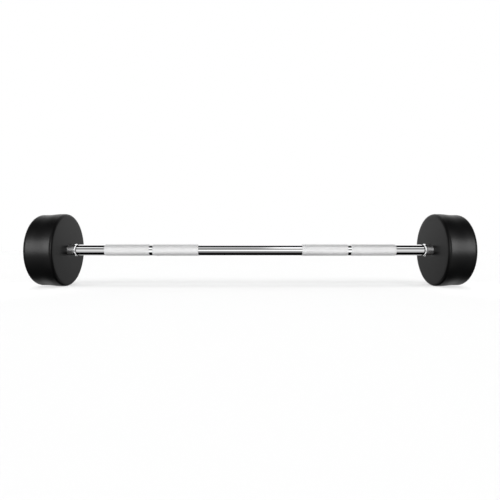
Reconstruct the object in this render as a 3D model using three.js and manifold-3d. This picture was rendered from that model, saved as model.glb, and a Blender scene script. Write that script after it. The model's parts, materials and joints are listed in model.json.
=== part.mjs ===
// A fixed straight barbell of about 25 kg: one chromed steel bar with knurled grips, and on each
// end a cast iron head under moulded rubber. The bar steps down to a spigot that carries, in
// order, a stop ring, a neck sleeve and the iron core. A bolt in the end of the spigot clamps
// that stack on the bar's shoulder, and two pins in the joint of spigot and core stop it turning.
// Millimetres, +X along the bar, +Z up, origin at the middle of the bar.

import * as THREE from 'three';
import { mergeVertices, toCreasedNormals } from 'three/addons/utils/BufferGeometryUtils.js';
import Module from 'manifold-3d';

const wasm = await Module();
wasm.setup();

// Sizes of the bar
const faceSpan = 943;
const barDiameter = 28;
const knurlHeight = 0.8;
const endPlainLength = 73.8;
const outerBandLength = 115.7;
const ringMarkWidth = 8.5;
const innerBandLength = 118.3;
const bandChamfer = 1.1;
const shoulderStep = 3;
const edgeChamfer = 0.8;

// Sizes of the stop ring and the neck sleeve
const stopRingStep = 2.1;
const stopRingWidth = 5;
const neckStep = 1;
const neckShown = 15.4;

// Sizes of the rubber coat
const headDiameter = 181.9;
const headWidth = 72;
const rimFlare = 2.5;
const rimRounding = 7;
const outerRounding = 12.1;
const rubberWall = 6;
const flareStartShare = 0.185;
const flareEndShare = 0.756;

// Sizes of the iron core
const coreChamfer = 5;
const keyingGrooveWidth = 7;
const keyingGrooveDepth = 3;
const keyingGrooveShares = [0.27, 0.73];

// Sizes of the fixings inside a head
const pinDiameter = 5;
const pinLength = 24;
const tapWall = 1.9;
const tapRunout = 4;
const washerCover = 3.5;
const washerThickness = 4;
const lockWasherThickness = 2.5;
const lockWasherSlot = 2.2;
const boltGrip = 22;
const plugWall = 1.6;
const plugDepth = 6;

// Proportions of the socket head bolt and its lock washer, as shares of the bolt's diameter
const boltHeadDiameterShare = 1.5;
const boltHeadHeightShare = 1;
const boltSocketShare = 0.833;
const boltSocketDepthShare = 0.5;
const lockWasherDiameterShare = 1.74;

// Clearances
const seatGap = 0.3;
const cutOverrun = 1;

// Facets round a turned piece, and along a rounded edge
const headSides = 44;
const barSides = 28;
const smallSides = 20;
const rimSteps = 4;
const outerSteps = 5;
const flareSteps = 4;
const ringSteps = 6;

// The bar's radii
const barRadius = barDiameter / 2;
const knurlRadius = barRadius + knurlHeight;
const spigotRadius = barRadius - shoulderStep;
const spigotBore = spigotRadius + seatGap;
const neckRadius = barRadius - neckStep;
const stopRingRadius = barRadius + stopRingStep;

// The fixings' radii: pins half in the spigot and half in the core, bolt inside the pins
const pinRadius = pinDiameter / 2;
const pinBore = pinRadius + seatGap;
const tapRadius = spigotRadius - pinBore - tapWall;
const boltRadius = tapRadius - seatGap;
const boltDiameter = boltRadius * 2;
const boltHeadRadius = boltRadius * boltHeadDiameterShare;
const boltHeadHeight = boltDiameter * boltHeadHeightShare;
const lockWasherRadius = boltRadius * lockWasherDiameterShare;
const washerRadius = spigotRadius + pinRadius + washerCover;
const counterboreRadius = washerRadius + seatGap;

// Places along +X of the right head's stack, from the bar's shoulder outwards
const headInner = faceSpan / 2;
const headOuter = headInner + headWidth;
const pocketInner = headInner + rubberWall;
const pocketOuter = headOuter - rubberWall;
const coreInner = pocketInner + seatGap;
const coreOuter = pocketOuter - seatGap;
const sleeveInner = headInner - neckShown;
const sleeveOuter = coreInner - seatGap;
const ringOuter = sleeveInner - seatGap;
const ringInner = ringOuter - stopRingWidth;
const shoulder = ringInner - seatGap;
const plugInner = coreOuter - plugDepth;
const boltHeadOuter = plugInner - seatGap;
const boltHeadInner = boltHeadOuter - boltHeadHeight;
const lockWasherInner = boltHeadInner - seatGap - lockWasherThickness;
const washerInner = lockWasherInner - seatGap - washerThickness;
const counterboreFloor = washerInner - seatGap;
const boltTip = counterboreFloor - boltGrip;

// The coat's radii
const headRadius = headDiameter / 2;
const rimRadius = headRadius + rimFlare;
const coreRadius = headRadius - rubberWall - seatGap;
const pocketRadius = headRadius - rubberWall;

const chrome = new THREE.MeshStandardMaterial({ color: 0xd9dbde, roughness: 0.12, metalness: 1 });
const steel = new THREE.MeshStandardMaterial({ color: 0x9a9b9c, roughness: 0.4, metalness: 1 });
const zinc = new THREE.MeshStandardMaterial({ color: 0xb9bcc0, roughness: 0.35, metalness: 1 });
const iron = new THREE.MeshStandardMaterial({ color: 0x4a4a4c, roughness: 0.75, metalness: 0.6 });
const rubber = new THREE.MeshStandardMaterial({ color: 0x2c2c2d, roughness: 0.5, metalness: 0 });

// A quarter round from one outline direction to the next, without its first point.
// It turns from startAngle to endAngle about [alongCentre, radiusCentre].
function roundedEdge(alongCentre, radiusCentre, radius, startAngle, endAngle, steps) {
  const points = [];
  for (let step = 1; step <= steps; step++) {
    const angle = THREE.MathUtils.lerp(startAngle, endAngle, step / steps);
    points.push([alongCentre + radius * Math.cos(angle), radiusCentre + radius * Math.sin(angle)]);
  }
  return points;
}

// A body of revolution about X from an outline of [along, radius] points that runs towards +X on
// its outer side. The middles of its facets lie at the stated radii, and one facet faces straight
// down, so that a head stands on a flat and every pair of nested pieces keeps its clearance.
function turned(outline, sides) {
  const halfFacet = Math.PI / sides;
  const points = outline.map(([along, radius]) => {
    return new THREE.Vector2(radius / Math.cos(halfFacet), along);
  });
  const geometry = new THREE.LatheGeometry(points, sides, halfFacet);
  geometry.rotateZ(-Math.PI / 2);
  return geometry;
}

// A turned piece with a hole right through: its outline closes on itself.
function turnedRing(outline, sides) {
  return turned([...outline, outline[0]], sides);
}

// A geometry's triangles with shared corners, without the flat ones that a pole leaves.
function solid(geometry) {
  const bare = geometry.clone();
  bare.deleteAttribute('normal');
  bare.deleteAttribute('uv');
  const merged = mergeVertices(bare);
  const corners = [];
  for (let i = 0; i < merged.index.count; i += 3) {
    const [a, b, c] = [0, 1, 2].map((k) => merged.index.getX(i + k));
    if (a !== b && b !== c && c !== a) {
      corners.push(a, b, c);
    }
  }
  return new wasm.Manifold(new wasm.Mesh({
    numProp: 3,
    vertProperties: merged.attributes.position.array,
    triVerts: Uint32Array.from(corners),
  }));
}

// A body less its cutters, as a geometry again.
function cut(body, cutters) {
  const result = cutters.reduce((left, cutter) => left.subtract(solid(cutter)), solid(body));
  const mesh = result.getMesh();
  const geometry = new THREE.BufferGeometry();
  geometry.setAttribute('position', new THREE.BufferAttribute(mesh.vertProperties, 3));
  geometry.setIndex(new THREE.BufferAttribute(mesh.triVerts, 1));
  return geometry;
}

function named(name, geometry, material) {
  const mesh = new THREE.Mesh(toCreasedNormals(geometry), material);
  mesh.name = name;
  return mesh;
}

// The two pin holes lie on the joint of spigot and core, above and below the bar's axis. They
// are drilled from the counterbore's floor, a clearance deeper than the pins are long.
const pinSpots = { upper: 1, lower: -1 };

function pinHole(side) {
  const depth = pinLength + seatGap;
  const hole = turned([
    [counterboreFloor - depth, 0],
    [counterboreFloor - depth, pinBore],
    [counterboreFloor + cutOverrun, pinBore],
    [counterboreFloor + cutOverrun, 0],
  ], smallSides);
  hole.translate(0, 0, side * spigotRadius);
  return hole;
}

function bothPinHoles() {
  return Object.values(pinSpots).map((side) => pinHole(side));
}

// Right half of the bar's outline: half the plain centre, a knurled band, the smooth ring mark,
// a second band, the plain end, the shoulder and the spigot. The bands are drawn at their crests.
function halfBarOutline() {
  const points = [];
  const bandStarts = [
    shoulder - endPlainLength - outerBandLength - ringMarkWidth - innerBandLength,
    shoulder - endPlainLength - outerBandLength,
  ];
  const bandLengths = [innerBandLength, outerBandLength];
  bandStarts.forEach((start, band) => {
    const end = start + bandLengths[band];
    points.push([start, barRadius]);
    points.push([start + bandChamfer, knurlRadius]);
    points.push([end - bandChamfer, knurlRadius]);
    points.push([end, barRadius]);
  });
  points.push([shoulder - edgeChamfer, barRadius]);
  points.push([shoulder, barRadius - edgeChamfer]);
  points.push([shoulder, spigotRadius]);
  points.push([counterboreFloor - seatGap - edgeChamfer, spigotRadius]);
  points.push([counterboreFloor - seatGap, spigotRadius - edgeChamfer]);
  return points;
}

// The tapped hole in the end of the spigot, with the drill's cone at its bottom.
function tapHoleOutline() {
  const coneShare = 0.6;
  const bottom = boltTip - tapRunout;
  return [
    [bottom - tapRadius * coneShare, 0],
    [bottom, tapRadius],
    [counterboreFloor - seatGap - edgeChamfer, tapRadius],
    [counterboreFloor - seatGap, tapRadius + edgeChamfer],
    [counterboreFloor + cutOverrun, tapRadius + edgeChamfer],
    [counterboreFloor + cutOverrun, 0],
  ];
}

function bar() {
  const right = halfBarOutline();
  const left = right.map(([along, radius]) => [-along, radius]).reverse();
  const spigotEnd = counterboreFloor - seatGap;
  const blank = turned([[-spigotEnd, 0], ...left, ...right, [spigotEnd, 0]], barSides);
  const endCutters = () => [turned(tapHoleOutline(), smallSides), ...bothPinHoles()];
  const leftCutters = endCutters().map((cutter) => cutter.rotateZ(Math.PI));
  return named('bar', cut(blank, [...endCutters(), ...leftCutters]), chrome);
}

// The stop ring has flat sides and a full round rim, and seats on the bar's shoulder.
function stopRing(name) {
  const rounding = stopRingWidth / 2;
  const middle = ringInner + rounding;
  const outline = [
    [ringInner, spigotBore],
    [ringInner, stopRingRadius - rounding],
    ...roundedEdge(middle, stopRingRadius - rounding, rounding, Math.PI, 0, ringSteps),
    [ringOuter, spigotBore],
  ];
  return named(name, turnedRing(outline, barSides), chrome);
}

// The neck sleeve passes through the rubber and bears on the core's face.
function neckSleeve(name) {
  const outline = [
    [sleeveInner, spigotBore],
    [sleeveInner, neckRadius - edgeChamfer],
    [sleeveInner + edgeChamfer, neckRadius],
    [sleeveOuter - edgeChamfer, neckRadius],
    [sleeveOuter, neckRadius - edgeChamfer],
    [sleeveOuter, spigotBore],
  ];
  return named(name, turnedRing(outline, barSides), steel);
}

// Both keying grooves of the core, or the rubber rings that fill them, along the core's rim.
function grooveOutline(rimAt, floorAt, clearance) {
  const points = [];
  keyingGrooveShares.forEach((share) => {
    const middle = THREE.MathUtils.lerp(coreInner, coreOuter, share);
    const half = keyingGrooveWidth / 2 - clearance;
    points.push([middle - half, rimAt]);
    points.push([middle - half, floorAt]);
    points.push([middle + half, floorAt]);
    points.push([middle + half, rimAt]);
  });
  return points;
}

// The core is a casting with chamfered edges, two grooves that key the rubber, a bore for the
// spigot and a counterbore for the bolt's head.
function core(name) {
  const outline = [
    [coreInner, spigotBore],
    [coreInner, coreRadius - coreChamfer],
    [coreInner + coreChamfer, coreRadius],
    ...grooveOutline(coreRadius, coreRadius - keyingGrooveDepth, 0),
    [coreOuter - coreChamfer, coreRadius],
    [coreOuter, coreRadius - coreChamfer],
    [coreOuter, counterboreRadius],
    [counterboreFloor, counterboreRadius],
    [counterboreFloor, spigotBore],
  ];
  return named(name, cut(turnedRing(outline, headSides), bothPinHoles()), iron);
}

// The coat's outer side: a flat inner face, a rounded rim, a land that the head rolls and rests
// on, a soft flare down to the body, a larger rounding and a flat outer face.
function coatSkin() {
  const rimLand = headInner + rimRounding;
  const bodyEnd = headOuter - outerRounding;
  const flareStart = THREE.MathUtils.lerp(rimLand, bodyEnd, flareStartShare);
  const flareEnd = THREE.MathUtils.lerp(rimLand, bodyEnd, flareEndShare);
  const flare = [];
  for (let step = 0; step <= flareSteps; step++) {
    const along = THREE.MathUtils.lerp(flareStart, flareEnd, step / flareSteps);
    const fall = THREE.MathUtils.smoothstep(along, flareStart, flareEnd);
    flare.push([along, THREE.MathUtils.lerp(rimRadius, headRadius, fall)]);
  }
  return [
    [headInner, neckRadius + seatGap],
    [headInner, rimRadius - rimRounding],
    ...roundedEdge(rimLand, rimRadius - rimRounding, rimRounding, Math.PI, Math.PI / 2, rimSteps),
    ...flare,
    [bodyEnd, headRadius],
    ...roundedEdge(bodyEnd, headRadius - outerRounding, outerRounding, Math.PI / 2, 0, outerSteps),
    [headOuter, 0],
  ];
}

// The coat's inner side follows the core all round, a clearance away, and fills its grooves.
function coatPocket() {
  return [
    [pocketOuter, 0],
    [pocketOuter, pocketRadius - coreChamfer],
    [pocketOuter - coreChamfer, pocketRadius],
    ...grooveOutline(pocketRadius, pocketRadius - keyingGrooveDepth, seatGap).reverse(),
    [pocketInner + coreChamfer, pocketRadius],
    [pocketInner, pocketRadius - coreChamfer],
    [pocketInner, neckRadius + seatGap],
  ];
}

// The rubber is moulded over the finished core in one piece. Its only opening is the hole that
// the neck sleeve passes through, so its outline runs out over the skin and back along the pocket.
function rubberCoat(name) {
  const outline = [...coatSkin(), ...coatPocket()];
  return named(name, turnedRing(outline, headSides), rubber);
}

function lockingPin(name, side) {
  const inner = counterboreFloor - pinLength;
  const outer = counterboreFloor;
  const chamfer = edgeChamfer / 2;
  const pin = turned([
    [inner, 0],
    [inner, pinRadius - chamfer],
    [inner + chamfer, pinRadius],
    [outer - chamfer, pinRadius],
    [outer, pinRadius - chamfer],
    [outer, 0],
  ], smallSides);
  pin.translate(0, 0, side * spigotRadius);
  return named(name, pin, steel);
}

// The retaining washer covers the pins and carries the bolt's clamp over to the core.
function retainingWasher(name) {
  const chamfer = edgeChamfer / 2;
  const outline = [
    [washerInner, tapRadius],
    [washerInner, washerRadius - chamfer],
    [washerInner + chamfer, washerRadius],
    [washerInner + washerThickness - chamfer, washerRadius],
    [washerInner + washerThickness, washerRadius - chamfer],
    [washerInner + washerThickness, tapRadius],
  ];
  return named(name, turnedRing(outline, barSides), zinc);
}

// The lock washer is a spring ring, split by one slanted cut.
function lockWasher(name) {
  const slantAngle = THREE.MathUtils.degToRad(25);
  const ring = turnedRing([
    [lockWasherInner, tapRadius],
    [lockWasherInner, lockWasherRadius],
    [lockWasherInner + lockWasherThickness, lockWasherRadius],
    [lockWasherInner + lockWasherThickness, tapRadius],
  ], smallSides);
  const reach = lockWasherRadius + cutOverrun;
  const slot = new THREE.BoxGeometry(lockWasherThickness * 3, lockWasherSlot, reach);
  slot.rotateZ(slantAngle);
  slot.translate(lockWasherInner + lockWasherThickness / 2, 0, reach / 2);
  return named(name, cut(ring, [slot]), zinc);
}

// The head bolt is a socket head cap screw. Its shank is drawn at the thread's outer diameter.
function headBolt(name) {
  const chamfer = edgeChamfer;
  const body = turned([
    [boltTip, 0],
    [boltTip, boltRadius - chamfer],
    [boltTip + chamfer, boltRadius],
    [boltHeadInner, boltRadius],
    [boltHeadInner, boltHeadRadius],
    [boltHeadOuter - chamfer, boltHeadRadius],
    [boltHeadOuter, boltHeadRadius - chamfer],
    [boltHeadOuter, 0],
  ], smallSides);
  const socketDepth = boltDiameter * boltSocketDepthShare;
  const acrossFlats = boltDiameter * boltSocketShare;
  const socket = turned([
    [boltHeadOuter - socketDepth, 0],
    [boltHeadOuter - socketDepth, acrossFlats / 2],
    [boltHeadOuter + cutOverrun, acrossFlats / 2],
    [boltHeadOuter + cutOverrun, 0],
  ], 6);
  return named(name, cut(body, [socket]), zinc);
}

// The core plug is a pressed steel cup. It keeps the rubber out of the counterbore while the
// coat is moulded, with its closed side over the bolt and its skirt towards the coat.
function corePlug(name) {
  const radius = counterboreRadius - seatGap;
  const bend = plugWall / 2;
  return named(name, turned([
    [plugInner, 0],
    [plugInner, radius - bend],
    [plugInner + bend, radius],
    [coreOuter, radius],
    [coreOuter, radius - plugWall],
    [plugInner + plugWall, radius - plugWall],
    [plugInner + plugWall, 0],
  ], barSides), zinc);
}

// Both heads are the same set of pieces, and the left one is the right one turned end for end.
function head(side) {
  const group = new THREE.Group();
  group.add(stopRing(`stop_ring_${side}`));
  group.add(neckSleeve(`neck_sleeve_${side}`));
  group.add(core(`core_${side}`));
  group.add(rubberCoat(`rubber_coat_${side}`));
  for (const [spot, towards] of Object.entries(pinSpots)) {
    group.add(lockingPin(`locking_pin_${spot}_${side}`, towards));
  }
  group.add(retainingWasher(`retaining_washer_${side}`));
  group.add(lockWasher(`lock_washer_${side}`));
  group.add(headBolt(`head_bolt_${side}`));
  group.add(corePlug(`core_plug_${side}`));
  return group;
}

const barbell = new THREE.Group();
barbell.add(bar());
const leftHead = head('left');
leftHead.rotation.z = Math.PI;
barbell.add(leftHead, head('right'));

export default barbell;
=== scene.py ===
import json
import math

import bpy
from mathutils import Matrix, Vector

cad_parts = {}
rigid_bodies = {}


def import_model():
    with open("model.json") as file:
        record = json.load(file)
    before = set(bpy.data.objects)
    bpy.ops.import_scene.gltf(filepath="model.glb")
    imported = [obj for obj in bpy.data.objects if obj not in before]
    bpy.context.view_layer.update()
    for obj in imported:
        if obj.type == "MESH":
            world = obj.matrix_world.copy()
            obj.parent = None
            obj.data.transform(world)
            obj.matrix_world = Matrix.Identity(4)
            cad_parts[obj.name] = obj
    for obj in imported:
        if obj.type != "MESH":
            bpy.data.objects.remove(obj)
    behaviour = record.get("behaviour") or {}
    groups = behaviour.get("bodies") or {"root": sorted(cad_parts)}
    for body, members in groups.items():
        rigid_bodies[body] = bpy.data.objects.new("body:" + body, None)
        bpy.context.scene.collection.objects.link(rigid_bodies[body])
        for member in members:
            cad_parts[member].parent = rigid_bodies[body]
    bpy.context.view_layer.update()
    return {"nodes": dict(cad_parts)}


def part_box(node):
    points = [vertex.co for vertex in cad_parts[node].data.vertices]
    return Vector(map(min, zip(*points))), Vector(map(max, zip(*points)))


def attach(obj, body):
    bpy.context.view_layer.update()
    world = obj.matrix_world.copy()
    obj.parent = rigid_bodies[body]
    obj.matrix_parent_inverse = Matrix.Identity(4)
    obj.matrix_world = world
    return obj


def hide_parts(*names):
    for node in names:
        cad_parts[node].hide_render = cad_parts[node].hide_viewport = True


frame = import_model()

scene = bpy.context.scene
scene.view_settings.view_transform = "Standard"


# The view: straight in front of the bar and level with it, about a metre away, a hair left of
# its middle. The camera looks up by a degree and a half, and its lens is shifted back down.

camera_data = bpy.data.cameras.new("camera")
camera_data.sensor_width = 36.0
camera_data.lens = 27.765
camera_data.shift_y = -0.0202
camera_data.clip_start = 0.01
camera_data.clip_end = 50.0
camera = bpy.data.objects.new("camera", camera_data)
camera.location = (-0.0007, -1.0057, 0)
camera.rotation_euler = (math.radians(91.5), 0, 0)
scene.collection.objects.link(camera)
scene.camera = camera


# The bar: one solid steel bar, turned, knurled in four bands and then chrome plated. The plain
# lengths are polished, and the knurl's small pyramids are rolled into the steel. At each end it
# steps down to a spigot with a tapped hole, and with a half round groove for each locking pin.

mm = 0.001
seat_gap = 0.3 * mm
edge_chamfer = 0.8 * mm
bar_radius = 14 * mm
spigot_radius = 11 * mm
spigot_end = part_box("bar")[1].x
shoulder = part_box("stop_ring_right")[0].x - seat_gap
tap_radius = 6.3 * mm
tap_spare_depth = 4 * mm
tap_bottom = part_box("head_bolt_right")[0].x - tap_spare_depth
drill_point_share = 0.6
tap_point = tap_bottom - drill_point_share * tap_radius

plain_end_length = 73.8 * mm
ring_mark_width = 8.5 * mm
band_lengths = {"outer": 115.7 * mm, "inner": 118.3 * mm}
band_starts = {"outer": shoulder - plain_end_length - band_lengths["outer"]}
band_starts["inner"] = band_starts["outer"] - ring_mark_width - band_lengths["inner"]

# The knurl's crests and valleys stand this far above the plain bar, and its crests are rubbed flat
# from this share of their height on.
knurl_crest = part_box("bar")[1].z - bar_radius
knurl_valley = 0.5 * mm
flat_crest = 0.4
diamonds_round = 54
steps_round = diamonds_round * 2
diamond_length = 2.83 * mm
band_chamfer = 1.1 * mm
# An edge is crisp from this many degrees on, which is less than the turn at a band's chamfer.
chamfer_crease = 12
bar_weld = 0.02 * mm
pin_steps = 40


class Wire:
    """An output socket of a node. Sums on wires add Math nodes to the wire's own tree."""

    def __init__(self, output):
        self.output = output
        self.tree = output.id_data

    @staticmethod
    def node(tree, kind, settings=None, sockets=None, output=0):
        """Adds a node of any kind: its settings first, then values or wires into its sockets."""
        made = tree.nodes.new(kind)
        for name, value in (settings or {}).items():
            if name == "stops":
                ramp = made.color_ramp.elements
                while len(ramp) < len(value):
                    ramp.new(1.0)
                for stop, (place, grey) in zip(ramp, value):
                    stop.position = place
                    stop.color = (grey, grey, grey, 1.0)
            else:
                setattr(made, name, value)
        for name, value in (sockets or {}).items():
            for each in value if isinstance(value, list) else [value]:
                if isinstance(each, Wire):
                    tree.links.new(each.output, made.inputs[name])
                else:
                    made.inputs[name].default_value = each
        return Wire(made.outputs[output]) if made.outputs else None

    def other(self, output):
        """Another output of the same node."""
        return Wire(self.output.node.outputs[output])

    def sum(self, operation, *others, swap=False):
        """A Math node on this wire and the others, or on the others first where they swap."""
        terms = [self, *others]
        if swap:
            terms.reverse()
        return Wire.node(self.tree, "ShaderNodeMath", {"operation": operation}, dict(enumerate(terms)))

    def __add__(self, other):
        return self.sum("ADD", other)

    def __sub__(self, other):
        return self.sum("SUBTRACT", other)

    def __mul__(self, other):
        return self.sum("MULTIPLY", other)

    def __truediv__(self, other):
        return self.sum("DIVIDE", other)

    def __rsub__(self, other):
        return self.sum("SUBTRACT", other, swap=True)

    def __rtruediv__(self, other):
        return self.sum("DIVIDE", other, swap=True)

    __radd__ = __add__
    __rmul__ = __mul__


def turned_mesh(name, runs, steps, closed=False):
    """Turned skin about X from runs of (along, radius) points, each run a skin of its own."""
    points = []
    faces = []
    for run in runs:
        rings = []
        for along, radius in run:
            first = len(points)
            if radius == 0:
                points.append((along, 0.0, 0.0))
                rings.append([first] * steps)
                continue
            for step in range(steps):
                angle = -2 * math.pi * step / steps
                points.append((along, radius * math.cos(angle), radius * math.sin(angle)))
            rings.append(list(range(first, first + steps)))
        pairs = list(zip(rings, rings[1:]))
        if closed:
            pairs.append((rings[-1], rings[0]))
        for near, far in pairs:
            for step in range(steps):
                after = (step + 1) % steps
                corners = list(dict.fromkeys([near[step], far[step], far[after], near[after]]))
                if len(corners) > 2:
                    faces.append(corners)
    mesh = bpy.data.meshes.new(name)
    mesh.from_pydata(points, [], faces)
    mesh.update()
    return mesh


def placed(name, mesh, node):
    """Puts a finished mesh into the scene as a piece that stands for its CAD node."""
    piece = bpy.data.objects.new(name, mesh)
    scene.collection.objects.link(piece)
    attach(piece, "root")
    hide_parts(node)


def creased(mesh, degrees=30):
    """Smooth shading between facets, with crisp edges where two faces meet at a real corner."""
    mesh.shade_smooth()
    mesh.set_sharp_from_angle(angle=math.radians(degrees))
    return mesh


def bare_finish(name, metallic):
    """A new finish: its material, its tree, its shader and the piece's own coordinates."""
    material = bpy.data.materials.new(name)
    material.use_nodes = True
    tree = material.node_tree
    shader = tree.nodes["Principled BSDF"]
    shader.inputs["Metallic"].default_value = metallic
    place = Wire.node(tree, "ShaderNodeTexCoord", output="Object")
    return material, tree, shader, place


def grain(place, scale=1.0, detail=3.0, roughness=0.5, stretch=None, turn=(0, 0, 0)):
    """Noise on the piece's own coordinates. A stretch draws it out into lines or rings."""
    if stretch:
        place = Wire.node(
            place.tree,
            "ShaderNodeMapping",
            sockets={"Vector": place, "Rotation": turn, "Scale": stretch},
        )
    sockets = {"Vector": place, "Scale": scale, "Detail": detail, "Roughness": roughness}
    return Wire.node(place.tree, "ShaderNodeTexNoise", sockets=sockets)


def between(low, high, value):
    """How far a value has come from low to high, from 0 to 1, with soft ends."""
    return Wire.node(
        value.tree,
        "ShaderNodeMapRange",
        {"interpolation_type": "SMOOTHSTEP"},
        {"Value": value, "From Min": low, "From Max": high},
    )


def blend(share, start, end):
    """A colour between two colours, each written as red, green and blue."""
    colours = {
        "Factor": share,
        6: start if isinstance(start, Wire) else (*start, 1.0),
        7: end if isinstance(end, Wire) else (*end, 1.0),
    }
    return Wire.node(share.tree, "ShaderNodeMix", {"data_type": "RGBA"}, colours, output=2)


def finished(shader, colour, roughness, height, strength, depth):
    """Wires colour, roughness and relief into a finish's shader."""
    tree = shader.id_data
    relief = Wire.node(
        tree, "ShaderNodeBump", sockets={"Height": height, "Strength": strength, "Distance": depth}
    )
    tree.links.new(colour.output, shader.inputs["Base Color"])
    tree.links.new(roughness.output, shader.inputs["Roughness"])
    tree.links.new(relief.output, shader.inputs["Normal"])


def polished_chrome():
    """Polished chrome: faint turning marks round the bar, wiped smudges and hairline scratches."""
    material, tree, shader, place = bare_finish("polished_chrome", metallic=1.0)
    marks = grain(place, stretch=(2600, 9, 9))
    smudges = grain(place, scale=22.0, detail=4.0, roughness=0.6)
    hairs = grain(place, detail=1.0, stretch=(60, 900, 900), turn=(0.3, 0.2, 0.6))
    hairline = between(0.7, 0.78, hairs)
    colour = blend(smudges, (0.84, 0.85, 0.865), (0.9, 0.9, 0.895))
    roughness = 0.04 + 0.025 * smudges + 0.1 * hairline
    relief = marks - 0.4 * hairline
    finished(shader, colour, roughness, relief, strength=0.12, depth=0.03 * mm)
    return material


def knurled_chrome():
    """Chrome over the rolled knurl: crests rubbed flat and bright, and a dull film in between."""
    material, tree, shader, place = bare_finish("knurled_chrome", metallic=1.0)
    crest = Wire.node(tree, "ShaderNodeAttribute", {"attribute_name": "crest"}, output="Fac")
    grip = grain(place, scale=40.0, detail=4.0)
    fine = grain(place, scale=2600.0, detail=2.0)
    rubbed = between(0.1, 0.6, crest + 0.3 * grip - 0.15)
    colour = blend(rubbed, (0.82, 0.82, 0.825), (0.94, 0.94, 0.94))
    film = 0.6 + 0.3 * rubbed
    tree.links.new(film.output, shader.inputs["Metallic"])
    flat = (crest - flat_crest).sum("MAXIMUM", 0)
    relief = 0.1 * fine - flat
    roughness = 0.34 - 0.12 * rubbed + 0.06 * fine
    finished(shader, colour, roughness, relief, strength=1.0, depth=knurl_crest - knurl_valley)
    return material


polished = polished_chrome()
knurled = knurled_chrome()


def named_inputs(tree, groups):
    """Gives a Geometry Nodes tree its inputs by kind of socket, and returns them as wires."""
    for kind, names in groups.items():
        for name in names:
            tree.interface.new_socket(name, in_out="INPUT", socket_type=f"NodeSocket{kind}")
    tree.interface.new_socket("Mesh", in_out="OUTPUT", socket_type="NodeSocketGeometry")
    given = tree.nodes.new("NodeGroupInput")
    return {socket.name: Wire(socket) for socket in given.outputs if socket.name}


def lying_rod(tree, vertices, radius, start, end, offset):
    """A rod along X from start to end, this far above the axis: a cutter for a bore or groove."""
    upright = Wire.node(
        tree,
        "GeometryNodeMeshCylinder",
        sockets={"Vertices": vertices, "Radius": radius, "Depth": end - start},
    )
    middle = Wire.node(
        tree, "ShaderNodeCombineXYZ", sockets={"X": (start + end) * 0.5, "Y": 0.0, "Z": offset}
    )
    return Wire.node(
        tree,
        "GeometryNodeTransform",
        sockets={"Geometry": upright, "Translation": middle, "Rotation": (0, math.pi / 2, 0)},
    )


def turned_about(tree, piece):
    """The same piece at the other end of the bar."""
    return Wire.node(
        tree, "GeometryNodeTransform", sockets={"Geometry": piece, "Rotation": (0, 0, math.pi)}
    )


def in_material(tree, piece, material):
    """The same piece in a finish."""
    return Wire.node(
        tree, "GeometryNodeSetMaterial", sockets={"Geometry": piece, "Material": material}
    )


def less(tree, body, cutters):
    """A body with its cutters taken out of it."""
    joined = Wire.node(tree, "GeometryNodeJoinGeometry", sockets={"Geometry": cutters})
    return Wire.node(
        tree,
        "GeometryNodeMeshBoolean",
        {"operation": "DIFFERENCE", "solver": "MANIFOLD"},
        {"Mesh 1": body, "Mesh 2": joined},
    )


def flat_grid(tree, rows, around):
    """A flat grid to roll up, so many steps long and round, with each point's row and column."""
    grid = Wire.node(
        tree,
        "GeometryNodeMeshGrid",
        sockets={
            "Size X": rows,
            "Size Y": around,
            "Vertices X": rows + 1,
            "Vertices Y": around + 1,
        },
    )
    spot = Wire.node(tree, "GeometryNodeInputPosition")
    parts = Wire.node(tree, "ShaderNodeSeparateXYZ", sockets={"Vector": spot})
    row = (parts + rows * 0.5).sum("ROUND")
    column = (parts.other("Y") + around * 0.5).sum("ROUND")
    return grid, row, column


def rolled_up(tree, grid, along, radius, column, around):
    """Rolls a flat grid up into a skin about X: each point goes along, out and round."""
    angle = column * (-2 * math.pi) / around
    wrapped = Wire.node(
        tree,
        "ShaderNodeCombineXYZ",
        sockets={"X": along, "Y": radius * angle.sum("COSINE"), "Z": radius * angle.sum("SINE")},
    )
    return Wire.node(
        tree, "GeometryNodeSetPosition", sockets={"Geometry": grid, "Position": wrapped}
    )


def welded(tree, pieces, distance):
    """Several skins as one: points that lie closer than this distance become one point."""
    joined = Wire.node(tree, "GeometryNodeJoinGeometry", sockets={"Geometry": pieces})
    return Wire.node(
        tree, "GeometryNodeMergeByDistance", sockets={"Geometry": joined, "Distance": distance}
    )


groove_sizes = ["groove radius", "groove start", "groove end", "groove distance"]


def groove_rods(tree, given):
    """The rods that cut the locking pins' two grooves, above the axis and below it."""
    start = given["groove start"]
    end = given["groove end"]
    return [
        lying_rod(tree, pin_steps, given["groove radius"], start, end, distance)
        for distance in (given["groove distance"], given["groove distance"] * -1)
    ]


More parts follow.
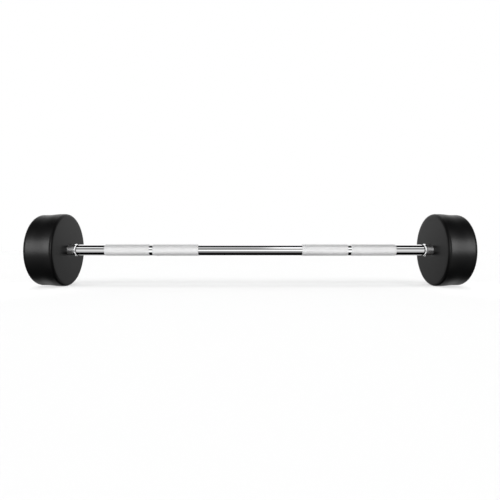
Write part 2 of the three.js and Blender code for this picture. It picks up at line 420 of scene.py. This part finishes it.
def bar_tree():
    """Rolls the knurled bands, a grid of half diamonds each, and cuts the pins' grooves."""
    tree = bpy.data.node_groups.new("knurled_and_grooved_bar", "GeometryNodeTree")
    bands = [f"{band} band {size}" for band in band_lengths for size in ("start", "length", "rows")]
    sizes = ["bar radius", "valley height", "crest height", "chamfer", "steps round"]
    given = named_inputs(
        tree,
        {
            "Geometry": ["Bar"],
            "Float": [*bands, *sizes, *groove_sizes],
            "Material": ["knurl finish", "plain finish"],
        },
    )
    around = given["steps round"]
    rolled = []
    for band in band_lengths:
        rows = given[f"{band} band rows"]
        grid, row, column = flat_grid(tree, rows + 2, around)
        crest = (row + column).sum("FLOORED_MODULO", 2)
        step = (given[f"{band} band length"] - 2 * given["chamfer"]) / rows
        knurled_row = (row - 1).sum("MAXIMUM", 0).sum("MINIMUM", rows)
        ends = row.sum("MINIMUM", 1) + (row - rows - 1).sum("MAXIMUM", 0)
        along = given[f"{band} band start"] + knurled_row * step + ends * given["chamfer"]
        inside = row.sum("GREATER_THAN", 0.5) * (row - rows - 1.5).sum("LESS_THAN", 0)
        rise = given["crest height"] - given["valley height"]
        radius = given["bar radius"] + inside * (given["valley height"] + crest * rise)
        marked = Wire.node(
            tree,
            "GeometryNodeStoreNamedAttribute",
            {"data_type": "FLOAT", "domain": "POINT"},
            {"Geometry": grid, "Name": "crest", "Value": crest * inside},
        )
        rolled_band = rolled_up(tree, marked, along, radius, column, around)
        right_band = in_material(tree, rolled_band, given["knurl finish"])
        rolled += [right_band, turned_about(tree, right_band)]
    plain = in_material(tree, given["Bar"], given["plain finish"])
    whole = welded(tree, [plain, *rolled], bar_weld)
    facets = Wire.node(
        tree, "GeometryNodeTriangulate", {"quad_method": "SHORTEST_DIAGONAL"}, {"Mesh": whole}
    )
    cutters = []
    for rod in groove_rods(tree, given):
        cutter = in_material(tree, rod, given["plain finish"])
        cutters += [cutter, turned_about(tree, cutter)]
    grooved = less(tree, facets, cutters)
    real = Wire.node(tree, "GeometryNodeRealizeInstances", sockets={"Geometry": grooved})
    Wire.node(tree, "NodeGroupOutput", sockets={"Mesh": real})
    return tree


def baked(blank, tree, sizes):
    """Runs a node tree on a blank with these sizes, and gives its result as a plain mesh."""
    piece = bpy.data.objects.new(tree.name, blank)
    scene.collection.objects.link(piece)
    modifier = piece.modifiers.new(tree.name, "NODES")
    modifier.node_group = tree
    for item in tree.interface.items_tree:
        if item.in_out == "INPUT" and item.name in sizes:
            modifier[item.identifier] = sizes[item.name]
    evaluated = piece.evaluated_get(bpy.context.evaluated_depsgraph_get())
    result = bpy.data.meshes.new_from_object(evaluated)
    piece.modifiers.remove(modifier)
    bpy.data.objects.remove(piece)
    if result.materials[0] is None:
        result.materials.pop(index=0)
    return result


def plain_lengths():
    """The bar's turned skin, left open where the knurled bands go."""
    outer_end = band_starts["outer"] + band_lengths["outer"]
    inner_end = band_starts["inner"] + band_lengths["inner"]
    ring_mark = [(inner_end, bar_radius), (band_starts["outer"], bar_radius)]
    end = [
        (outer_end, bar_radius),
        (shoulder - edge_chamfer, bar_radius),
        (shoulder, bar_radius - edge_chamfer),
        (shoulder, spigot_radius),
        (spigot_end - edge_chamfer, spigot_radius),
        (spigot_end, spigot_radius - edge_chamfer),
        (spigot_end, tap_radius + edge_chamfer),
        (spigot_end - edge_chamfer, tap_radius),
        (tap_bottom, tap_radius),
        (tap_point, 0),
    ]
    middle = [(-band_starts["inner"], bar_radius), (band_starts["inner"], bar_radius)]
    right = [ring_mark, end]
    left = [[(-along, radius) for along, radius in reversed(run)] for run in right]
    return [*left, middle, *right]


pin_low, pin_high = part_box("locking_pin_upper_right")
bar_sizes = {
    "bar radius": bar_radius,
    "valley height": knurl_valley,
    "crest height": knurl_crest,
    "chamfer": band_chamfer,
    "steps round": float(steps_round),
    "groove radius": (pin_high.y - pin_low.y) / 2 + seat_gap,
    "groove start": pin_low.x - seat_gap,
    "groove end": pin_high.x + edge_chamfer,
    "groove distance": spigot_radius,
    "knurl finish": knurled,
    "plain finish": polished,
}
for band, length in band_lengths.items():
    bar_sizes[f"{band} band start"] = band_starts[band]
    bar_sizes[f"{band} band length"] = length
    bar_sizes[f"{band} band rows"] = 2.0 * round((length - 2 * band_chamfer) / diamond_length)
bar_blank = turned_mesh("bar_blank", plain_lengths(), steps_round)
bar_mesh = creased(baked(bar_blank, bar_tree(), bar_sizes), chamfer_crease)
placed("chromed_bar", bar_mesh, "bar")


# The stop rings: a turned and chromed ring against each shoulder of the bar, flat on its sides
# and full round on its rim. It is the bright line where the grip ends.

sides = {"right": 1, "left": -1}
ring_steps = 96
seat_radius = spigot_radius + seat_gap


def outline_for(side, outline):
    """The right head's outline for either side. It keeps running towards +X on its skin."""
    if side == "right":
        return outline
    return [(-along, radius) for along, radius in reversed(outline)]


def rounding(centre, radius, from_degrees, to_degrees, steps):
    """Points of a rounded edge about (along, radius), without its first point."""
    points = []
    for step in range(1, steps + 1):
        angle = math.radians(from_degrees + (to_degrees - from_degrees) * step / steps)
        points.append((centre[0] + radius * math.cos(angle), centre[1] + radius * math.sin(angle)))
    return points


def turned_pair(name, node, material, outline, closed=True):
    """The same turned piece at both ends of the bar, in place of its two CAD nodes."""
    for side in sides:
        mesh = turned_mesh(name, [outline_for(side, outline)], ring_steps, closed)
        creased(mesh).materials.append(material)
        placed(f"{name}_{side}", mesh, f"{node}_{side}")


ring_low, ring_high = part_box("stop_ring_right")
ring_rounding = (ring_high.x - ring_low.x) / 2
ring_centre = (ring_low.x + ring_rounding, ring_high.z - ring_rounding)
ring_outline = [
    (ring_low.x, seat_radius),
    (ring_low.x, ring_centre[1]),
    *rounding(ring_centre, ring_rounding, 180, 0, steps=16),
    (ring_high.x, seat_radius),
]
turned_pair("stop_ring_turned", "stop_ring", polished, ring_outline)


# The neck sleeves: short turned steel tubes, left satin. Each spaces the iron core from the
# stop ring, and the rubber closes round it.


def chamfered_tube(low, high, inner_radius, chamfer):
    """Outline of a turned tube or washer that fills a box, with its outer edges chamfered."""
    return [
        (low.x, inner_radius),
        (low.x, high.y - chamfer),
        (low.x + chamfer, high.y),
        (high.x - chamfer, high.y),
        (high.x, high.y - chamfer),
        (high.x, inner_radius),
    ]


def satin_steel():
    """Turned steel with fine tool rings round it, a little oil haze and dull edges."""
    material, tree, shader, place = bare_finish("turned_satin_steel", metallic=1.0)
    rings = grain(place, detail=2.0, stretch=(4200, 14, 14))
    haze = grain(place, scale=60.0)
    colour = blend(haze, (0.5, 0.5, 0.505), (0.62, 0.62, 0.62))
    roughness = 0.22 + 0.1 * haze + 0.06 * rings
    finished(shader, colour, roughness, rings, strength=0.3, depth=0.04 * mm)
    return material


neck_outline = chamfered_tube(*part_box("neck_sleeve_right"), seat_radius, edge_chamfer)
turned_pair("neck_sleeve_turned", "neck_sleeve", satin_steel(), neck_outline)


# The iron cores: the weight itself, cast in sand. The bore and the counterbore are machined, and
# two grooves round the rim hold the rubber. A half round groove for each pin runs along the bore.

core_low, core_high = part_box("core_right")
core_chamfer = 5 * mm
groove_shares = (0.27, 0.73)
keying_groove_width = 7 * mm
keying_groove_depth = 3 * mm
washer_low, washer_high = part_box("retaining_washer_right")
counterbore_radius = washer_high.y + seat_gap
counterbore_floor = washer_low.x - seat_gap
machined_border = 0.4 * mm
core_steps = 96


def rim_grooves(rim_radius, clearance):
    """Both keying grooves along the core's rim, or the rubber rings that fill them."""
    points = []
    for share in groove_shares:
        middle = core_low.x + share * (core_high.x - core_low.x)
        half = keying_groove_width / 2 - clearance
        for along, depth in ((-half, 0), (-half, 1), (half, 1), (half, 0)):
            points.append((middle + along, rim_radius - depth * keying_groove_depth))
    return points


def cast_iron():
    """Sand cast iron: a coarse dark skin with pits, and bright turned rings where it is bored."""
    material, tree, shader, place = bare_finish("sand_cast_iron", metallic=0.9)
    parts = Wire.node(tree, "ShaderNodeSeparateXYZ", sockets={"Vector": place})
    across = parts.other("Y")
    up = parts.other("Z")
    from_axis = (across * across + up * up).sum("SQRT")
    cast = between(counterbore_radius, counterbore_radius + machined_border, from_axis)
    sand = grain(place, scale=520.0, detail=6.0, roughness=0.7)
    pits = between(0.6, 0.72, grain(place, scale=160.0, detail=2.0))
    rings = grain(place, detail=2.0, stretch=(3000, 30, 30))
    skin = blend(sand, (0.045, 0.044, 0.044), (0.1, 0.096, 0.093))
    cut = blend(rings, (0.36, 0.36, 0.36), (0.5, 0.5, 0.495))
    colour = blend(cast, cut, skin)
    roughness = 0.3 + 0.1 * rings + cast * (0.3 + 0.15 * sand)
    relief = cast * (sand - pits) + (1 - cast) * 0.1 * rings
    finished(shader, colour, roughness, relief, strength=0.7, depth=0.4 * mm)
    return material


def core_tree():
    """Cuts the grooves for the two locking pins into a turned core."""
    tree = bpy.data.node_groups.new("pin_grooved_core", "GeometryNodeTree")
    given = named_inputs(
        tree, {"Geometry": ["Core"], "Float": groove_sizes, "Material": ["finish"]}
    )
    grooved = less(tree, given["Core"], groove_rods(tree, given))
    real = Wire.node(tree, "GeometryNodeRealizeInstances", sockets={"Geometry": grooved})
    finished_core = in_material(tree, real, given["finish"])
    Wire.node(tree, "NodeGroupOutput", sockets={"Mesh": finished_core})
    return tree


iron = cast_iron()
grooved_core = core_tree()
core_outline = [
    (core_low.x, seat_radius),
    (core_low.x, core_high.z - core_chamfer),
    (core_low.x + core_chamfer, core_high.z),
    *rim_grooves(core_high.z, 0),
    (core_high.x - core_chamfer, core_high.z),
    (core_high.x, core_high.z - core_chamfer),
    (core_high.x, counterbore_radius),
    (counterbore_floor, counterbore_radius),
    (counterbore_floor, seat_radius),
]
for side, sign in sides.items():
    groove_ends = sorted((sign * bar_sizes["groove start"], sign * bar_sizes["groove end"]))
    core_mesh = turned_mesh("core", [outline_for(side, core_outline)], core_steps, closed=True)
    core_sizes = {
        "groove radius": bar_sizes["groove radius"],
        "groove start": groove_ends[0],
        "groove end": groove_ends[1],
        "groove distance": spigot_radius,
        "finish": iron,
    }
    core_mesh = creased(baked(core_mesh, grooved_core, core_sizes))
    placed(f"core_cast_{side}", core_mesh, f"core_{side}")


# The locking pins: ground dowels with chamfered ends, driven into the joint of spigot and core
# above and below the axis. They stop the head from turning on the bar.


def ground_steel():
    """Hardened steel, ground: fine lines round the pin and a light grey sheen."""
    material, tree, shader, place = bare_finish("ground_pin_steel", metallic=1.0)
    lines = grain(place, detail=2.0, stretch=(5200, 40, 40))
    haze = grain(place, scale=300.0)
    colour = blend(haze, (0.46, 0.46, 0.47), (0.56, 0.56, 0.57))
    roughness = 0.18 + 0.12 * haze
    finished(shader, colour, roughness, lines, strength=0.3, depth=0.03 * mm)
    return material


ground = ground_steel()
pin_radius = (pin_high.y - pin_low.y) / 2
pin_chamfer = edge_chamfer / 2
pin_outline = [
    (pin_low.x, 0),
    (pin_low.x, pin_radius - pin_chamfer),
    (pin_low.x + pin_chamfer, pin_radius),
    (pin_high.x - pin_chamfer, pin_radius),
    (pin_high.x, pin_radius - pin_chamfer),
    (pin_high.x, 0),
]
for side in sides:
    for spot, above in {"upper": 1, "lower": -1}.items():
        pin_mesh = turned_mesh("pin", [outline_for(side, pin_outline)], pin_steps)
        for point in pin_mesh.vertices:
            point.co.z += above * spigot_radius
        creased(pin_mesh).materials.append(ground)
        node = f"locking_pin_{spot}_{side}"
        placed(f"locking_pin_ground_{spot}_{side}", pin_mesh, node)


# The retaining washers: thick zinc plated steel washers over the spigot's end and the pins. They
# carry the bolt's clamp over to the core.


def zinc_plate():
    """Zinc plated steel: pale blue grey with a fine crystal bloom and faint yellow patches."""
    material, tree, shader, place = bare_finish("zinc_plated_steel", metallic=1.0)
    crystals = Wire.node(
        tree, "ShaderNodeTexVoronoi", sockets={"Vector": place, "Scale": 900.0}, output="Distance"
    )
    patches = grain(place, scale=90.0)
    plated = blend(crystals, (0.5, 0.52, 0.55), (0.62, 0.63, 0.65))
    yellowed = between(0.55, 0.75, patches)
    colour = blend(0.35 * yellowed, plated, (0.62, 0.56, 0.36))
    roughness = 0.28 + 0.14 * crystals + 0.06 * patches
    finished(shader, colour, roughness, crystals, strength=0.2, depth=0.04 * mm)
    return material


zinc = zinc_plate()
washer_outline = chamfered_tube(washer_low, washer_high, tap_radius, pin_chamfer)
turned_pair("retaining_washer_plated", "retaining_washer", zinc, washer_outline)


# The lock washers: split spring rings of zinc plated steel, between bolt head and washer. They
# keep the bolt from working loose. Their split CAD form stays, and only gets the finish.

for side in sides:
    lock_washer = frame["nodes"][f"lock_washer_{side}"]
    for slot in lock_washer.material_slots:
        slot.material = zinc


# The head bolts: socket head screws with a rolled thread, one in the tapped end of each spigot.
# The thread is a grid sheared along its own pitch, so that one turn of it meets the next.

bolt_low, bolt_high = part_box("head_bolt_right")
bolt_radius = tap_radius - seat_gap
bolt_head_radius = bolt_high.y
bolt_head_inner = bolt_high.x - 2 * bolt_radius
bolt_fillet = 0.3 * mm
bolt_tip_length = 0.5 * mm
plain_shank_length = 1.6 * mm
thread_pitch = 1.75 * mm
thread_depth_share = 0.613
thread_height = thread_depth_share * thread_pitch
core_of_thread = bolt_radius - thread_height
thread_end = bolt_head_inner - plain_shank_length
thread_runout = 0.4 * mm
rows_in_pitch = 8
# How steep a thread's flanks are against its pitch, and how far its root cuts them off.
flank_slope = 1.3
root_cut = 0.12
thread_weld = 0.01 * mm
bolt_steps = 48
socket_depth = bolt_radius
socket_flats_share = 0.833
socket_flats = socket_flats_share * 2 * bolt_radius
socket_overlap = 1 * mm


def bolt_tree():
    """Rolls a thread between a bolt's tip and its head, and sinks the hexagon socket."""
    tree = bpy.data.node_groups.new("threaded_head_bolt", "GeometryNodeTree")
    sizes = ["thread start", "thread end", "pitch", "root radius", "thread height", "steps round"]
    socket = ["socket radius", "socket floor", "socket mouth"]
    given = named_inputs(
        tree, {"Geometry": ["Blank"], "Float": [*sizes, *socket], "Material": ["finish"]}
    )
    around = given["steps round"]
    start = given["thread start"]
    end = given["thread end"]
    pitch = given["pitch"]
    length = end - start
    rows = ((length / pitch).sum("CEIL") + 2) * rows_in_pitch
    grid, row, column = flat_grid(tree, rows, around)
    turns = row / rows_in_pitch - 1 + column / around
    along = (start + turns * pitch).sum("MAXIMUM", start).sum("MINIMUM", end)
    phase = (row / rows_in_pitch).sum("FRACT")
    flank = 1 - ((phase - 0.5).sum("ABSOLUTE") * 2)
    profile = (flank * flank_slope - root_cut).sum("MAXIMUM", 0).sum("MINIMUM", 1)
    from_ends = (along - start).sum("MINIMUM", end - along) / pitch
    radius = given["root radius"] + given["thread height"] * profile * from_ends.sum("MINIMUM", 1)
    thread = rolled_up(tree, grid, along, radius, column, around)
    whole = welded(tree, [given["Blank"], thread], thread_weld)
    hexagon = lying_rod(
        tree,
        vertices=6,
        radius=given["socket radius"],
        start=given["socket floor"],
        end=given["socket mouth"],
        offset=0.0,
    )
    sunk = less(tree, whole, [hexagon])
    real = Wire.node(tree, "GeometryNodeRealizeInstances", sockets={"Geometry": sunk})
    finished_bolt = in_material(tree, real, given["finish"])
    Wire.node(tree, "NodeGroupOutput", sockets={"Mesh": finished_bolt})
    return tree


threaded = bolt_tree()
bolt_tip = [
    (bolt_low.x, 0),
    (bolt_low.x, core_of_thread - bolt_fillet),
    (bolt_low.x + bolt_tip_length, core_of_thread),
]
bolt_top = [
    (thread_end, core_of_thread),
    (thread_end + thread_runout, core_of_thread),
    (bolt_head_inner - bolt_fillet, core_of_thread),
    (bolt_head_inner, core_of_thread + bolt_fillet),
    (bolt_head_inner, bolt_head_radius - bolt_fillet),
    (bolt_head_inner + bolt_fillet, bolt_head_radius),
    (bolt_high.x - edge_chamfer, bolt_head_radius),
    (bolt_high.x, bolt_head_radius - edge_chamfer),
    (bolt_high.x, 0),
]
bolt_sizes = {
    "thread start": bolt_low.x + bolt_tip_length,
    "thread end": thread_end,
    "pitch": thread_pitch,
    "root radius": core_of_thread,
    "thread height": thread_height,
    "steps round": float(bolt_steps),
    "socket radius": socket_flats / math.sqrt(3),
    "socket floor": bolt_high.x - socket_depth,
    "socket mouth": bolt_high.x + socket_overlap,
    "finish": zinc,
}
for side, sign in sides.items():
    blank = turned_mesh("bolt_blank", [bolt_tip, bolt_top], bolt_steps)
    bolt_mesh = creased(baked(blank, threaded, bolt_sizes))
    for point in bolt_mesh.vertices:
        point.co.x *= sign
        point.co.y *= sign
    placed(f"head_bolt_threaded_{side}", bolt_mesh, f"head_bolt_{side}")


# The core plugs: cups pressed from zinc plated sheet. Each closes the counterbore over the bolt,
# so that the rubber can't run in while the coat is moulded.

plug_low, plug_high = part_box("core_plug_right")
plug_wall = 1.6 * mm
plug_bend = 2 * plug_wall
plug_radius = plug_high.y
plug_bend_centre = (plug_low.x + plug_bend, plug_radius - plug_bend)
plug_outline = [
    (plug_low.x, 0),
    (plug_low.x, plug_radius - plug_bend),
    *rounding(plug_bend_centre, plug_bend, 180, 90, steps=6),
    (plug_high.x, plug_radius),
    (plug_high.x, plug_radius - plug_wall),
    (plug_low.x + plug_bend, plug_radius - plug_wall),
    *rounding(plug_bend_centre, plug_bend - plug_wall, 90, 180, steps=6),
    (plug_low.x + plug_wall, 0),
]
turned_pair("core_plug_pressed", "core_plug", zinc, plug_outline, closed=False)


# The rubber coats: black rubber moulded over the iron core in one piece, with a wider rounded
# rim on the bar's side, a soft flare down to the body and a larger rounding on the outer side.

coat_low, coat_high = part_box("rubber_coat_right")
coat_steps = 224
coat_crease = 40
neck_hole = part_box("neck_sleeve_right")[1].z + seat_gap
lip_radius = 0.6 * mm
rim_radius = coat_high.z
rim_rounding = 7 * mm
outer_rounding = 10.8 * mm
rubber_wall = 6 * mm
head_radius = core_high.z + seat_gap + rubber_wall
flare_steps = 24
flare_shares = (0.185, 0.756)
# Where the skin has a ring of points on its flat faces, as shares of the way across them.
inner_face_rings = (0.1, 0.3, 0.6, 0.9, 1.0)
outer_face_rings = (0.75, 0.5, 0.25, 0)


def coat_outline():
    """The coat's skin from the neck's hole out to the outer face, and back along its pocket."""
    rim_land = coat_low.x + rim_rounding
    body_end = coat_high.x - outer_rounding
    flare_start, flare_end = [rim_land + share * (body_end - rim_land) for share in flare_shares]
    face_edge = rim_radius - rim_rounding
    lip = (coat_low.x + lip_radius, neck_hole + lip_radius)
    points = [(lip[0], neck_hole), *rounding(lip, lip_radius, 270, 180, steps=4)]
    for share in inner_face_rings:
        points.append((coat_low.x, neck_hole + share * (face_edge - neck_hole)))
    points += rounding((rim_land, face_edge), rim_rounding, 180, 90, steps=12)
    for step in range(flare_steps + 1):
        share = step / flare_steps
        fall = share * share * (3 - 2 * share)
        along = flare_start + share * (flare_end - flare_start)
        points.append((along, rim_radius + fall * (head_radius - rim_radius)))
    points.append((body_end, head_radius))
    outer_edge = head_radius - outer_rounding
    points += rounding((body_end, outer_edge), outer_rounding, 90, 0, steps=16)
    for share in outer_face_rings:
        points.append((coat_high.x, share * outer_edge))
    pocket_radius = head_radius - rubber_wall
    pocket_inner = coat_low.x + rubber_wall
    pocket_outer = coat_high.x - rubber_wall
    return [
        *points,
        (pocket_outer, 0),
        (pocket_outer, pocket_radius - core_chamfer),
        (pocket_outer - core_chamfer, pocket_radius),
        *reversed(rim_grooves(pocket_radius, seat_gap)),
        (pocket_inner + core_chamfer, pocket_radius),
        (pocket_inner, pocket_radius - core_chamfer),
        (pocket_inner, neck_hole),
    ]


def moulded_rubber():
    """Satin black rubber: fine grain of the mould, slow waves, and a dusty bloom."""
    material, tree, shader, place = bare_finish("moulded_black_rubber", metallic=0.0)
    texture = grain(place, scale=1400.0)
    waves = grain(place, scale=28.0, detail=2.0)
    bloom = grain(place, scale=9.0, detail=5.0, roughness=0.6)
    colour = blend(bloom, (0.0022, 0.0022, 0.0023), (0.0036, 0.0036, 0.0036))
    shader.inputs["Specular IOR Level"].default_value = 0.13
    roughness = 0.3 + 0.06 * bloom + 0.03 * texture
    relief = texture + 0.6 * waves
    finished(shader, colour, roughness, relief, strength=0.15, depth=0.12 * mm)
    return material


black_rubber = moulded_rubber()
for side in sides:
    coat_mesh = turned_mesh("coat", [outline_for(side, coat_outline())], coat_steps, closed=True)
    creased(coat_mesh, coat_crease).materials.append(black_rubber)
    placed(f"moulded_coat_{side}", coat_mesh, f"rubber_coat_{side}")


# The floor and the studio. The floor is a pale sheet that the heads stand on. It takes the shadow,
# but isn't seen in the chrome and throws no light back. Panels and flags stand round the bar for
# the chrome to mirror, and each lamp lights only the kind of piece that it is meant for.

floor_reach = 40.0
floor_grey = 0.6
floor_level = coat_low.z
floor_corners = [
    (across * floor_reach, away * floor_reach, floor_level)
    for across, away in ((-1, -1), (1, -1), (1, 1), (-1, 1))
]
floor_mesh = bpy.data.meshes.new("floor")
floor_mesh.from_pydata(floor_corners, [], [(0, 1, 2, 3)])
floor = bpy.data.objects.new("floor", floor_mesh)
scene.collection.objects.link(floor)
floor.visible_glossy = False
floor.visible_diffuse = False

floor_material = bpy.data.materials.new("pale_floor")
floor_material.use_nodes = True
tree = floor_material.node_tree
tree.nodes.clear()
floor_colour = (floor_grey, floor_grey, floor_grey, 1)
sheet = Wire.node(tree, "ShaderNodeBsdfDiffuse", sockets={"Color": floor_colour})
Wire.node(tree, "ShaderNodeOutputMaterial", sockets={"Surface": sheet})
floor_mesh.materials.append(floor_material)

# What the chrome and the rubber mirror: panels, flags and gaps that stand edge to edge round the
# bar. Each starts at an angle, where 0 is straight in front and up is positive, and has one
# brightness, where 0 is a black flag. The middle of the bar, the marks, the ends, the heads and the
# knurl's slopes look in different directions, and each has its own set. To the right of the middle
# the upper panel is brighter.
panel_edge = 6
surround = {
    "middle": [
        (-180, 0.4), (-150, 0.0), (-62, 0.2), (-25, 1.2), (6, 0.1), (32, 0.6), (62, 0.0), (105, 1.1),
    ],
    "right of middle": [
        (-180, 0.4), (-150, 0.0), (-62, 0.2), (-25, 1.2), (6, 0.2), (32, 1.5), (60, 0.0), (105, 1.1),
    ],
    "marks": [
        (-180, 0.3), (-150, 0.0), (-50, 1.2), (-5, 0.0), (18, 1.4), (48, 0.0), (100, 0.9),
    ],
    "ends": [
        (-180, 0.8), (-155, 0.3), (-115, 0.0), (-50, 0.6), (-16, 0.9), (12, 0.0), (40, 1.4), (57, 0.0),
        (116, 1.2),
    ],
    "heads": [
        (-180, 0.4), (-145, 1.2), (-115, 0.0), (-15, 0.9), (45, 0.1), (60, 0.0), (110, 0.5),
        (140, 1.3), (165, 0.8),
    ],
    "slopes": [
        (-180, 0.15), (-115, 0.0), (-45, 0.5), (45, 0.0), (115, 0.5),
    ],
}
# How far out to the side, as the sine of the angle, each set gives way to the next. The second set
# takes over on the right alone, and the others on both sides.
right_handover = (0.02, 0.085)
handovers = {
    "marks": (0.19, 0.22),
    "ends": (0.29, 0.33),
    "heads": (0.43, 0.49),
    "slopes": (0.56, 0.66),
}


def panel_stops(panels):
    """A ramp's stops for one set of panels with soft edges, once round the bar from behind it."""
    levels = [(-180, panels[0][1])]
    for panel, following in zip(panels, panels[1:]):
        levels.append((following[0] - panel_edge, panel[1]))
        levels.append((following[0] + panel_edge, following[1]))
    return [((angle + 180) / 360, level) for angle, level in levels]


world = bpy.data.worlds.new("studio")
scene.world = world
world.use_nodes = True
tree = world.node_tree
tree.nodes.clear()
towards = Wire.node(tree, "ShaderNodeTexCoord", output="Generated")
sideways = Wire.node(tree, "ShaderNodeSeparateXYZ", sockets={"Vector": towards})
forwards = sideways.other("Y")
upwards = sideways.other("Z")
turn = upwards.sum("ARCTAN2", forwards * -1) / (2 * math.pi) + 0.5
outward = sideways.sum("ABSOLUTE")
zones = {}
for zone, panels in surround.items():
    stops = panel_stops(panels)
    zones[zone] = Wire.node(tree, "ShaderNodeValToRGB", {"stops": stops}, {"Fac": turn})
on_the_right = between(*right_handover, sideways)
studio = blend(on_the_right, zones["middle"], zones["right of middle"])
for zone, handover in handovers.items():
    studio = blend(between(*handover, outward), studio, zones[zone])
seen = Wire.node(tree, "ShaderNodeLightPath", output="Is Camera Ray")
shown = blend(seen, studio, (1, 1, 1))
background = Wire.node(tree, "ShaderNodeBackground", sockets={"Color": shown, "Strength": 1.0})
Wire.node(tree, "ShaderNodeOutputWorld", sockets={"Surface": background})


def named_group(name, *starts):
    """A collection of the objects whose names start so, for a lamp's light or shadow."""
    group = bpy.data.collections.new(name)
    for each in scene.objects:
        if each.name.startswith(starts):
            group.objects.link(each)
    return group


def linked_lamp(name, light, receivers, blockers):
    """A lamp that lights the receivers alone. Only the blockers shade it, where it has any."""
    lamp = bpy.data.objects.new(name, light)
    lamp.visible_camera = False
    scene.collection.objects.link(lamp)
    lamp.light_linking.receiver_collection = receivers
    if blockers is not None:
        lamp.light_linking.blocker_collection = blockers
    return lamp


def broad_light(name, strength, width, tilt, receivers, blockers=None):
    """A far, soft light, so many degrees wide, tilted from straight above towards the front."""
    light = bpy.data.lights.new(name, "SUN")
    light.energy = strength
    light.angle = math.radians(width)
    light.use_shadow = blockers is not None
    lamp = linked_lamp(name, light, receivers, blockers)
    lamp.rotation_euler = (math.radians(tilt), 0, 0)
    lamp.visible_glossy = False


def soft_lamp(name, side, place, aim, size, power, spread, receivers, blockers=None):
    """A soft rectangular lamp by one head. Its place and aim are given for the right one, and a
    small spread is the grid on its front."""
    light = bpy.data.lights.new(f"{name}_{side}", "AREA")
    light.shape = "RECTANGLE"
    light.size, light.size_y = size
    light.energy = power
    light.spread = math.radians(spread)
    lamp = linked_lamp(f"{name}_{side}", light, receivers, blockers)
    mirror = Vector((sides[side], 1, 1))
    start = Vector(place) * mirror
    target = Vector(aim) * mirror
    lamp.location = start
    lamp.rotation_mode = "QUATERNION"
    lamp.rotation_quaternion = (target - start).to_track_quat("-Z", "Y")


# Two broad lights fall on the floor, where only the bar throws its shadow. A third fills in the
# bar from the front and throws none.
floor_only = named_group("floor_only", "floor")
bar_alone = named_group("bar_alone", "chromed_bar")
broad_light("overhead", strength=2.35, width=66, tilt=8, receivers=floor_only, blockers=bar_alone)
broad_light("low_front", strength=2.85, width=34, tilt=58, receivers=floor_only, blockers=bar_alone)
broad_light("front_fill", strength=5.6, width=20, tilt=106, receivers=bar_alone)

# The bar, the stop rings and the coats aren't seen in mirrors, so that no streak of the chrome lies
# on the rubber and no black head lies on the chrome.
head_group = named_group("heads", "moulded_coat_")
ring_group = named_group("rings", "stop_ring_turned_")
neck_group = named_group("necks", "neck_sleeve_turned_", "stop_ring_turned_")
for unmirrored in (*bar_alone.objects, *ring_group.objects, *head_group.objects):
    unmirrored.visible_glossy = False

# The lamps by each head. Its body mirrors one and its flare another, and one brightens the floor
# beside it. The neck and the stop ring have one in front and one each above and below, and the ring
# has two more behind it.
for side in sides:
    soft_lamp(
        "head_lamp", side, place=(0.97, -1.24, 0.25), aim=(0.97, 0, 0), size=(0.36, 0.8),
        power=15.0, spread=160, receivers=head_group,
    )
    soft_lamp(
        "flare_lamp", side, place=(1.62, -1.24, 0.25), aim=(1.62, 0, 0), size=(0.55, 0.8),
        power=16.0, spread=160, receivers=head_group,
    )
    soft_lamp(
        "floor_lamp", side, place=(0.57, -0.09, 0.25), aim=(0.57, -0.09, 0), size=(0.16, 0.08),
        power=0.06, spread=70, receivers=floor_only, blockers=bar_alone,
    )
    soft_lamp(
        "neck_lamp", side, place=(1.03, -1.22, 0.4), aim=(0.464, 0, 0), size=(0.5, 0.8),
        power=2.8, spread=120, receivers=neck_group, blockers=bar_alone,
    )
    for level, above in {"high": 1, "low": -1}.items():
        soft_lamp(
            f"edge_lamp_{level}", side, place=(0.98, -0.4, above * 0.75), aim=(0.41, 0, 0),
            size=(0.7, 0.6), power=1.7, spread=180, receivers=neck_group, blockers=bar_alone,
        )
        soft_lamp(
            f"ring_lamp_{level}", side, place=(0.98, 0.45, above * 0.6), aim=(0.41, 0, 0),
            size=(0.9, 0.9), power=6.0, spread=180, receivers=ring_group, blockers=bar_alone,
        )
